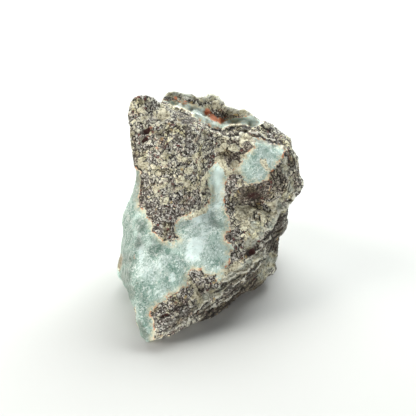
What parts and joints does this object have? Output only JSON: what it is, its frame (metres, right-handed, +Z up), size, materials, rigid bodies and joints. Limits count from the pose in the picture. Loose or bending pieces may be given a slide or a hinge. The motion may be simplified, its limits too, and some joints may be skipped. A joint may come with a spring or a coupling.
{
  "type": "rough larimar",
  "caption": "Rough broken lump of pale blue larimar still partly wrapped in its dark grainy basalt crust, with a flat base to stand on as a display or collector's stone",
  "frame": {"origin": "the centre of the stone's box at the level of its flat base, which lies in the table plane", "axes": "+Z is up from the table. +X is to the right as pictured. +Y points away from the viewer, from the low front tip to the hidden back, and is the longest way through the stone. The height is the shortest."},
  "size_m": [0.0522, 0.0622, 0.0495],
  "materials": {
    "stone": "rough"
  },
  "bodies": {
    "root": {"rough_larimar": "stone"}
  },
  "joints": []
}
